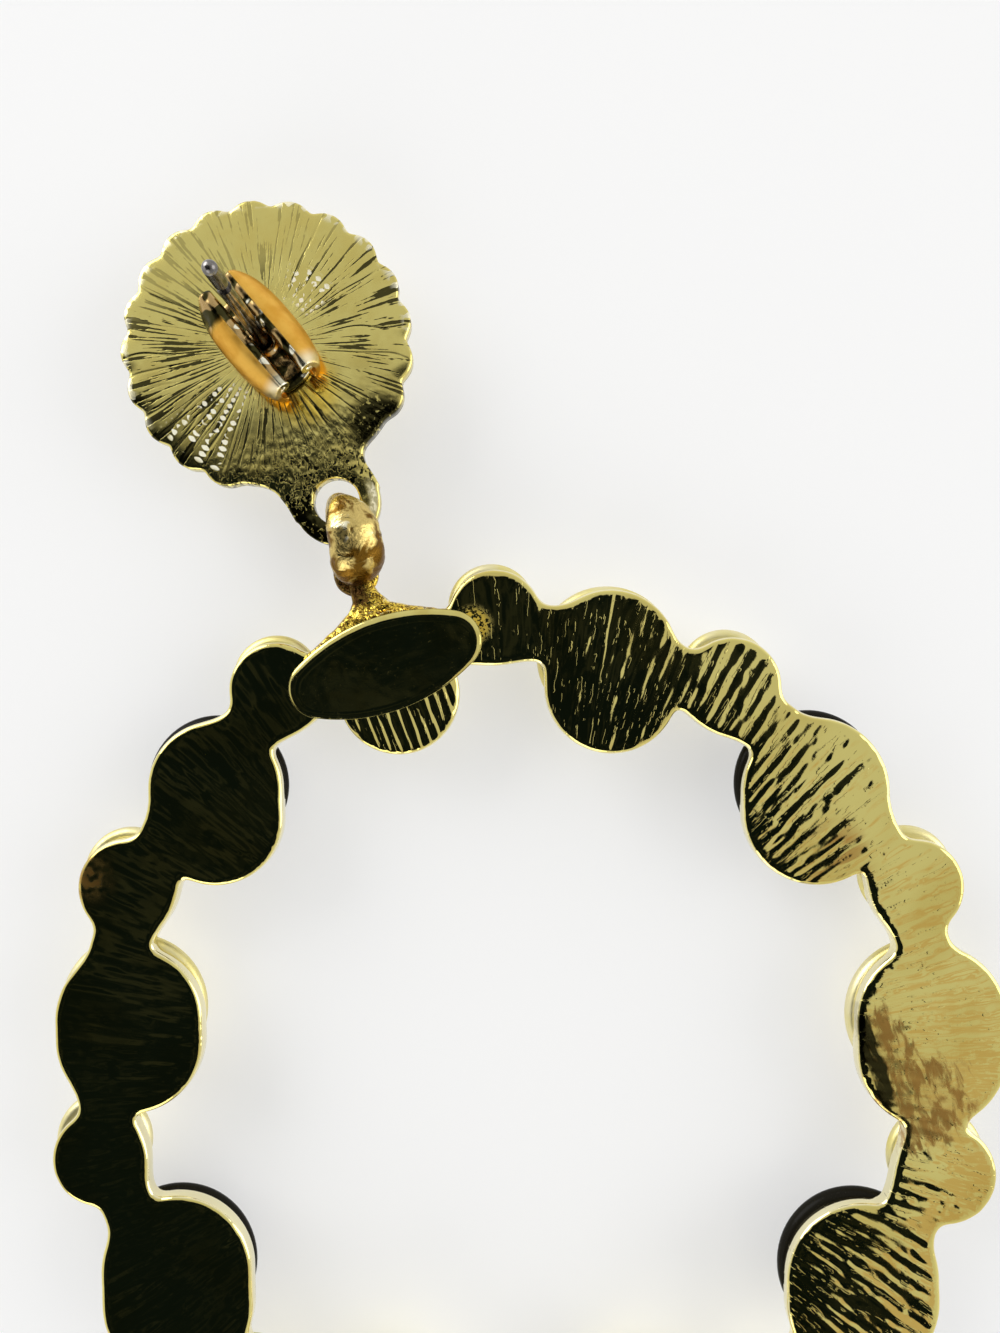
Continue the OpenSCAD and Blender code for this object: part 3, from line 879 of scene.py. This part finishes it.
class EarringSizes(bpy.types.PropertyGroup):
    plate_edge: length_property("Plate edge", "Rounding of the hoop plate's back edge", 0.00028)
    plate_fillet: length_property("Plate fillet", "Softness where lobes and webs meet", 0.0007)
    streak_depth: length_property("File marks", "Depth of the radial file marks", 0.000017)
    tag_length: length_property("Tag length", "Length of the oval tag", 0.0121)
    tag_width: length_property("Tag width", "Width of the oval tag", 0.0057)
    tag_height: length_property("Tag height", "Height of the tag's rim over the plate", 0.0007)
    stud_edge: length_property("Stud edge", "Rounding of the stud's back edge", 0.00018)
    groove_depth: length_property("Stud grooves", "Depth of the stud's radial grooves", 0.00002)
    grooves: bpy.props.IntProperty(
        name="Grooves", description="Number of grooves on the stud", default=45, min=10, max=80
    )
    link_radius: length_property("Link radius", "Middle of the link's wire from its centre", 0.00225)
    link_wire: length_property("Link wire", "Radius of the link's wire", 0.00065)
    eye_radius: length_property("Eye radius", "Middle of the eye's wire from its centre", 0.0011)
    eye_wire: length_property("Eye wire", "Radius of the eye's wire", 0.00028)
    nut_length: length_property("Nut length", "Length of the nut's wings", 0.0071)
    nut_reach: length_property("Nut reach", "From the post's middle to a wing's outer side", 0.00232)
    nut_sheet: length_property("Nut sheet", "Thickness of the nut's bent sheet", 0.0003)


class EarringStage(bpy.types.PropertyGroup):
    camera_height: length_property("Camera height", "Height over the floor", 0.0634, 0.0, 0.5)
    camera_x: length_property("Camera X", "Place across the earring", 0.00636, -0.5, 0.5)
    camera_y: length_property("Camera Y", "Place along the earring", (23.39 + CENTRE_Y) * MM, -0.5, 0.5)
    camera_turn: bpy.props.FloatProperty(
        name="Camera turn",
        description="Turn of the picture against the drop",
        default=-math.radians(18.41),
        subtype="ANGLE",
    )
    lens: bpy.props.FloatProperty(
        name="Lens", description="Focal length for a 36 mm high picture", default=26.196, unit="CAMERA"
    )


def size_mm(name):
    """One of the sizes in the panel, in millimetres."""
    return getattr(bpy.context.scene.earring_sizes, name) / MM


def chosen_colours():
    return bpy.context.scene.earring_colours


# Operators.


class EARRING_OT_hoop_back(bpy.types.Operator):
    """Builds the hoop's plate with its rounded edge and radial file marks"""

    bl_idname = "earring.hoop_back"
    bl_label = "Hoop back"

    def execute(self, context):
        fillet, edge, depth = size_mm("plate_fillet"), size_mm("plate_edge"), size_mm("streak_depth")

        def distance(x, y):
            return hoop_distance(x, y, fillet)

        def height(x, y):
            ridges, scratch = 0.05 * top_ridges(x, y), 0.03 * long_scratch(x, y)
            swell = 0.02 * wander(x / 3.4 + 50, y / 3.4 + 50, 4)
            uneven = 0.6 + 0.6 * wander(x / 0.9, y / 0.9, 3)
            rolled_off = 0.04 * shoulder(distance(x, y), 0.55) * uneven
            return depth * file_marks(x, y) + ridges + scratch + swell - rolled_off

        grid = polar_grid(HUB, steps=1840, inner=18.6, outer=31.2, cell=0.2)
        mesh = relief("hoop_back", grid, distance, height, PLATE_BACK, PLATE_FRONT, edge, wrap=True)
        add_piece(mesh, plated_back(chosen_colours()), "earring", "hoop_plate")
        return {"FINISHED"}


class EARRING_OT_tag(bpy.types.Operator):
    """Builds the bare oval tag with its raised rim"""

    bl_idname = "earring.tag"
    bl_label = "Oval tag"

    def execute(self, context):
        half_width, tall = size_mm("tag_width") / 2, size_mm("tag_height")

        # Small arcs at the two ends run into long ones on the two sides.
        end_r = half_width * 0.64
        span = size_mm("tag_length") / 2 - end_r
        side_r = (span**2 + half_width**2 - end_r**2) / (2 * half_width - 2 * end_r)
        rise = side_r - half_width

        def distance(x, y):
            u, v = (np.abs(part) for part in turned(x, y, TAG_XY, TAG_TURN))
            long_arc = np.hypot(u, v + rise) - side_r
            round_end = np.hypot(u - span, v) - end_r
            return np.where(u * rise > (v + rise) * span, round_end, long_arc)

        def height(x, y):
            # The dish lies a little low, so the rim is wider above it.
            inside = -distance(x, y + 0.17) - 0.03 * wander(x / 0.9 + 20, y / 0.9 + 20, 6)
            dish = np.clip((inside - 0.25) / 0.4, 0, 1)
            dish = dish * dish * (3 - 2 * dish)
            dents = wander(x / 0.5 + 60, y / 0.5 + 60, 7)
            return 0.003 * dents - 0.03 * dish - 0.11 * shoulder(distance(x, y), 0.42)

        grid = square_grid(TAG_XY, half_x=6.4, half_y=3.2, cell=0.05, degrees=TAG_TURN)
        top, bottom = PLATE_BACK + tall, PLATE_BACK - 0.2
        mesh = relief("tag_plate", grid, distance, height, top, bottom, edge=0.09, wrap=False, rows=4)
        add_piece(mesh, tag_mirror(chosen_colours()), "earring", "hoop_plate")
        return {"FINISHED"}


class EARRING_OT_solder(bpy.types.Operator):
    """Builds the solder flare over the tag, the neck and the eye"""

    bl_idname = "earring.solder"
    bl_label = "Solder, neck and eye"

    # Outline of the neck and the flare, clockwise, measured from the neck's foot.
    OUTLINE = (
        (-0.58, 1.9),
        (0.58, 1.9),
        (0.9, 0.75),
        (1.45, -0.15),
        (2.8, -0.9),
        (4.9, -1.75),
        (4.9, -3.0),
        (-4.9, -3.4),
        (-4.7, -1.85),
        (-2.8, -0.95),
        (-1.25, -0.1),
        (-0.75, 0.5),
    )

    def execute(self, context):
        outline = np.array(self.OUTLINE) + (EYE_XY[0], NECK_FOOT_Y)
        bank_y, bank_width = CENTRE_Y + 28.2, 0.9

        def distance(x, y):
            return polygon(x, y, outline) + 0.06 * wander(x / 0.5 + 30, y / 0.5 + 30, 8) - 0.02

        def height(x, y):
            lumps = 1 - 2 * np.abs(wander(x / 0.55 + 40, y / 0.4 + 40, 9))
            lumps = lumps + 0.4 * wander(x / 0.22 + 40, y / 0.22 + 40, 10)
            bank = np.exp(-(((y - bank_y) / bank_width) ** 2))
            return 0.09 * lumps * np.clip(bank + 0.35, 0, 1) + 0.26 * bank

        middle = (EYE_XY[0], CENTRE_Y + 28.6)
        grid = square_grid(middle, half_x=5.3, half_y=3.2, cell=0.06, degrees=0)
        top, bottom = PLATE_BACK + 0.06, PLATE_FRONT + 0.1
        flare = relief("solder_flare", grid, distance, height, top, bottom, edge=0.3, wrap=False)
        place = Matrix.Translation(Vector((*EYE_XY, PLATE_MID)) * MM)
        ring_r, wire_r = size_mm("eye_radius"), size_mm("eye_wire")
        eye = ring_mesh("hoop_eye", place, ring_r, wire_r, seed=11, around=96, through=28)
        for mesh in (flare, eye):
            add_piece(mesh, solder_gold(chosen_colours()), "earring", "hoop_plate")
        return {"FINISHED"}


class EARRING_OT_stud_back(bpy.types.Operator):
    """Builds the scalloped stud plate with radial grooves and its pierced tab"""

    bl_idname = "earring.stud_back"
    bl_label = "Stud back"

    def execute(self, context):
        edge, depth = size_mm("stud_edge"), size_mm("groove_depth")
        groove_count = context.scene.earring_sizes.grooves

        def distance(x, y):
            u, v = turned(x, y, POST_XY, STUD_TURN)
            total = np.hypot(u, v) - STUD_R
            for k in set(range(SCALLOPS)) - set(PLAIN_SCALLOPS):
                a = -math.radians(k * 360 / SCALLOPS)
                middle = (SCALLOP_OUT * math.sin(a), SCALLOP_OUT * math.cos(a))
                total = soft_union(total, disc(u, v, middle, SCALLOP_R), SCALLOP_BLEND)

            # The neck's left side flares toward the disc, and its right side draws in a little.
            hu, hv = turned(x, y, HOLE_XY, STUD_TURN)
            from_hole = np.hypot(hu, hv)
            sides = np.maximum(-hu - TAB_R - 0.24 * hv, hu - TAB_R + 0.08 * hv)
            half_neck = 2.0
            neck = np.maximum(sides, np.abs(hv - half_neck) - half_neck)
            tab = soft_union(from_hole - TAB_R, neck, NECK_BLEND)
            total = soft_union(total, tab, TAB_BLEND)
            return np.maximum(np.maximum(total, HOLE_R - from_hole), POST_HOLE_R - np.hypot(u, v))

        def height(x, y):
            u, v = turned(x, y, POST_XY, STUD_TURN)
            angle, radius = np.arctan2(u, v), np.hypot(u, v)
            groove = (angle / (2 * math.pi) + 0.5) * groove_count
            groove = groove + 0.3 * wander(groove * 0.7 + 10, radius / 2.5, 12)
            cut = np.exp(-(((groove % 1.0 - 0.5) / 0.07) ** 2))

            # Each groove has its own depth and its own start.
            number, flat = np.floor(groove), radius * 0
            share = np.clip(0.35 + 0.9 * wander(number * 1.7 + 3, flat + 5.5, 13), 0, 1)
            start = 2.4 + 1.6 * np.abs(wander(number * 2.3 + 8, flat + 9.5, 14))
            reach = np.clip((radius - start) / 1.2, 0, 1) * np.clip((9.4 - radius) / 0.8, 0, 1)
            on_tab = np.clip((-v - 4.5) / 2.0, 0, 1)
            lumps = wander(x / 0.16 + 70, y / 0.16 + 70, 15) + wander(x / 0.3 + 70, y / 0.3 + 70, 16)
            dome = 0.06 * (1 - (radius / 8.6) ** 2) + 0.008 * wander(x / 2.2 + 80, y / 2.2 + 80, 20)
            marks = 0.007 * lumps * (0.06 + on_tab) - depth * cut * share * reach * (1 - on_tab)
            return dome + marks - 0.06 * shoulder(distance(x, y), 0.9)

        grid = polar_grid(POST_XY, steps=1000, inner=0.7, outer=13.6, cell=0.13)
        mesh = relief("stud_back", grid, distance, height, PLATE_BACK, PLATE_FRONT, edge, wrap=True)
        add_piece(mesh, grooved_back(chosen_colours()), "earring", "stud_plate")
        return {"FINISHED"}


class EARRING_OT_link(bpy.types.Operator):
    """Builds the slightly lumpy jump ring"""

    bl_idname = "earring.link"
    bl_label = "Jump ring"

    def execute(self, context):
        lean = -math.atan2(HOLE_XY[0] - EYE_XY[0], HOLE_XY[1] - EYE_XY[1])
        place = (
            Matrix.Translation(LINK_MIDDLE * MM)
            @ Matrix.Rotation(lean, 4, "Z")
            @ Matrix.Rotation(math.radians(90 + LINK_LEAN), 4, "Y")
        )
        ring_r, wire_r = size_mm("link_radius"), size_mm("link_wire")
        mesh = ring_mesh("link_ring", place, ring_r, wire_r, seed=17, swollen=0.66)
        add_piece(mesh, link_gold(chosen_colours()), "earring", "jump_ring")
        return {"FINISHED"}


class EARRING_OT_nut(bpy.types.Operator):
    """Builds the butterfly nut: its base and its two rolled wings"""

    bl_idname = "earring.nut"
    bl_label = "Ear nut"

    def execute(self, context):
        base_r, half_width, thick = size_mm("nut_length") / 2 - 0.3, 2.0, 0.4
        collar_r, collar_slope, collar_height = 0.9, 0.12, 0.22

        def distance(x, y):
            u, v = turned(x, y, POST_XY, NUT_TURN)
            radius = np.hypot(u, v)
            return np.maximum(np.maximum(radius - base_r, np.abs(u) - half_width), NUT_HOLE_R - radius)

        def height(x, y):
            return -collar_height * np.clip(disc(x, y, POST_XY, collar_r) / collar_slope, -1, 0)

        grid = polar_grid(POST_XY, steps=160, inner=0.4, outer=3.6, cell=0.07)
        top, bottom = NUT_BOTTOM + thick, NUT_BOTTOM
        base = relief("nut_base", grid, distance, height, top, bottom, edge=0.1, wrap=True, rows=3)
        finish = nut_gold(chosen_colours())
        for mesh in (base, self.wing("nut_wing_left", -1), self.wing("nut_wing_right", 1)):
            add_piece(mesh, finish, "nut", "ear_nut")
        return {"FINISHED"}

    def section(self, narrow):
        """Middle line of a wing's sheet, from the base over its flat outer side into its roll."""
        crest, low, top, roll = 1.0, 1.35, 2.6, 0.36
        bend = np.radians(np.linspace(-80, 90, 26))
        curl = np.radians(np.linspace(90, 300, 24))[1:]
        flat = np.where(bend > 0, 1.3, 1.0)
        arm = (size_mm("nut_reach") - size_mm("nut_sheet") / 2 - crest) * narrow
        up = np.sign(np.sin(bend)) * np.abs(np.sin(bend)) ** flat
        u = crest + arm * np.cos(bend) ** flat
        w = low + (top - low) * up * (0.9 + 0.1 * narrow)
        rolled_w = w[-1] - roll + roll * np.sin(curl)
        return np.append(u, crest + roll * np.cos(curl)), np.append(w, rolled_w)

    def wing(self, name, side):
        """A bent sheet whose sections narrow toward its two ends."""
        half_sheet, half_length = size_mm("nut_sheet") / 2, size_mm("nut_length") / 2 - 0.02
        stations = np.linspace(-1, 1, 61)
        rings = []
        for at in stations:
            u, w = self.section(0.16 + 0.84 * math.sqrt(1 - (0.97 * abs(at)) ** 2.4))
            du, dw = np.gradient(u), np.gradient(w)
            size = np.hypot(du, dw)
            nu, nw = -dw / size * half_sheet, du / size * half_sheet
            across = side * np.concatenate([u + nu, (u - nu)[::-1]])
            x, y = placed(across, at * half_length, POST_XY, NUT_TURN)
            up = NUT_BOTTOM + np.concatenate([w + nw, (w - nw)[::-1]])
            rings.append(np.stack([x, y, up], -1))
        count = len(rings[0])
        faces = tube_faces(len(rings), count, False)
        for start in (0, (len(rings) - 1) * count):
            for j in range(count // 2 - 1):
                faces.append((start + j, start + j + 1, start + count - 2 - j, start + count - 1 - j))

        def not_an_end(face):
            return abs(face.normal.dot(AXIS_OF_NUT)) < 0.9

        return solid_mesh(name, np.concatenate(rings), faces, smooth=not_an_end)


class EARRING_OT_solids(bpy.types.Operator):
    """Gives the beads and the post their finishes"""

    bl_idname = "earring.solids"
    bl_label = "Beads and post"

    def execute(self, context):
        colours = chosen_colours()
        gold, black, steel = satin_gold(colours), black_gloss(colours), drawn_steel(colours)
        for name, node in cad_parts.items():
            if "bead" in name:
                finish = black if name in BLACK_BEADS else gold
            elif name == "ear_post":
                finish = steel
            else:
                continue
            node.data.materials.clear()
            node.data.materials.append(finish)
        return {"FINISHED"}


class EARRING_OT_stage(bpy.types.Operator):
    """Lays the pale floor, hangs the lights and places the camera"""

    bl_idname = "earring.stage"
    bl_label = "Stage, lights and camera"

    def execute(self, context):
        bpy.ops.mesh.primitive_plane_add(size=FLOOR_WIDTH, location=(0, 0, -FLOOR_GAP))
        floor = context.object
        floor.name = "floor"
        floor.data.materials.append(pale_floor(chosen_colours()))
        for lamp in LAMPS:
            self.light(*lamp)
        context.scene.view_settings.view_transform = "Standard"
        self.surroundings(context)
        self.camera(context)
        return {"FINISHED"}

    def light(self, name, location, size, power):
        data = bpy.data.lights.new(name, "AREA")
        data.shape = "DISK"
        data.size = size
        data.energy = power
        lamp = bpy.data.objects.new(name, data)
        bpy.context.scene.collection.objects.link(lamp)
        lamp.location = location
        aim = -lamp.location
        lamp.rotation_euler = aim.to_track_quat("-Z", "Y").to_euler()

    def camera(self, context):
        """A camera that looks straight down."""
        place = context.scene.earring_stage
        data = bpy.data.cameras.new("camera")
        data.sensor_fit = "VERTICAL"
        data.sensor_height = 36.0
        data.lens = place.lens
        data.clip_start = 0.004
        data.clip_end = 20.0
        camera = bpy.data.objects.new("camera", data)
        context.scene.collection.objects.link(camera)
        camera.location = (place.camera_x, place.camera_y, place.camera_height)
        camera.rotation_euler = (0, 0, place.camera_turn)
        context.scene.camera = camera

    def surroundings(self, context):
        """A pale room with one dark patch overhead, which the polished plates mirror."""
        world = bpy.data.worlds.new("studio")
        context.scene.world = world
        world.use_nodes = True
        world.node_tree.nodes.clear()
        n = Nodes(world.node_tree)

        # Right and down in the picture, on a ceiling one unit up.
        x, y, z = n.axes(n.node("ShaderNodeTexCoord").outputs["Generated"])
        turn = context.scene.earring_stage.camera_turn
        c, s = math.cos(turn), math.sin(turn)
        up = n.highest(z, 0.02)
        right = n.maths("DIVIDE", n.total(n.product(x, c), n.product(y, s)), up)
        down = n.maths("DIVIDE", n.less(n.product(x, s), n.product(y, c)), up)
        cloud = n.noise(n.joined(right, down), scale=7.0)

        slanted_side = n.ramp(n.less(right, n.product(down, 0.25)), 0.28, 0.25)
        patch = n.product(slanted_side, n.ramp(right, -1.5, -1.1), n.band(down, -0.27, -0.21, 1.1, 1.5))
        patch = n.product(patch, n.ramp(z, 0.2, 0.4))
        warm = n.product(n.band(right, 0.28, 0.36, 0.6, 0.75), n.band(down, 0.12, 0.28, 0.7, 0.9))
        warm = n.product(warm, n.ramp(cloud, 0.45, 0.58))
        dark = n.mix(n.ramp(cloud, 0.45, 0.7), (0.004, 0.007, 0.009), (0.018, 0.021, 0.020))
        ceiling, walls, warm_patch = (0.66, 0.66, 0.64), (0.85, 0.85, 0.85), (0.62, 0.50, 0.38)
        room = n.coats(ceiling, (n.ramp(z, 0.95, 0.2), walls), (warm, warm_patch), (patch, dark))
        background = n.made_by("ShaderNodeBackground", (room,))
        n.made_by("ShaderNodeOutputWorld", (background.outputs[0],))


class EARRING_PT_panel(bpy.types.Panel):
    """Lists the earring's pieces, sizes and colours"""

    bl_idname = "EARRING_PT_panel"
    bl_label = "Beaded hoop earring"
    bl_space_type = "VIEW_3D"
    bl_region_type = "UI"
    bl_category = "Earring"

    def draw(self, context):
        for operator in OPERATORS:
            self.layout.operator(operator.bl_idname)
        scene = context.scene
        for group in (scene.earring_sizes, scene.earring_colours, scene.earring_stage):
            column = self.layout.column()
            for name in group.bl_rna.properties.keys():
                if name not in ("rna_type", "name"):
                    column.prop(group, name)


OPERATORS = (
    EARRING_OT_hoop_back,
    EARRING_OT_tag,
    EARRING_OT_solder,
    EARRING_OT_stud_back,
    EARRING_OT_link,
    EARRING_OT_nut,
    EARRING_OT_solids,
    EARRING_OT_stage,
)
CLASSES = (EarringColours, EarringSizes, EarringStage, *OPERATORS, EARRING_PT_panel)


def register():
    for cls in CLASSES:
        bpy.utils.register_class(cls)
    bpy.types.Scene.earring_colours = bpy.props.PointerProperty(type=EarringColours)
    bpy.types.Scene.earring_sizes = bpy.props.PointerProperty(type=EarringSizes)
    bpy.types.Scene.earring_stage = bpy.props.PointerProperty(type=EarringStage)


def unregister():
    del bpy.types.Scene.earring_stage
    del bpy.types.Scene.earring_sizes
    del bpy.types.Scene.earring_colours
    for cls in reversed(CLASSES):
        bpy.utils.unregister_class(cls)


def main():
    register()
    bpy.ops.earring.hoop_back()
    bpy.ops.earring.tag()
    bpy.ops.earring.solder()
    bpy.ops.earring.stud_back()
    bpy.ops.earring.link()
    bpy.ops.earring.nut()
    bpy.ops.earring.solids()
    bpy.ops.earring.stage()


if __name__ == "__main__":
    main()
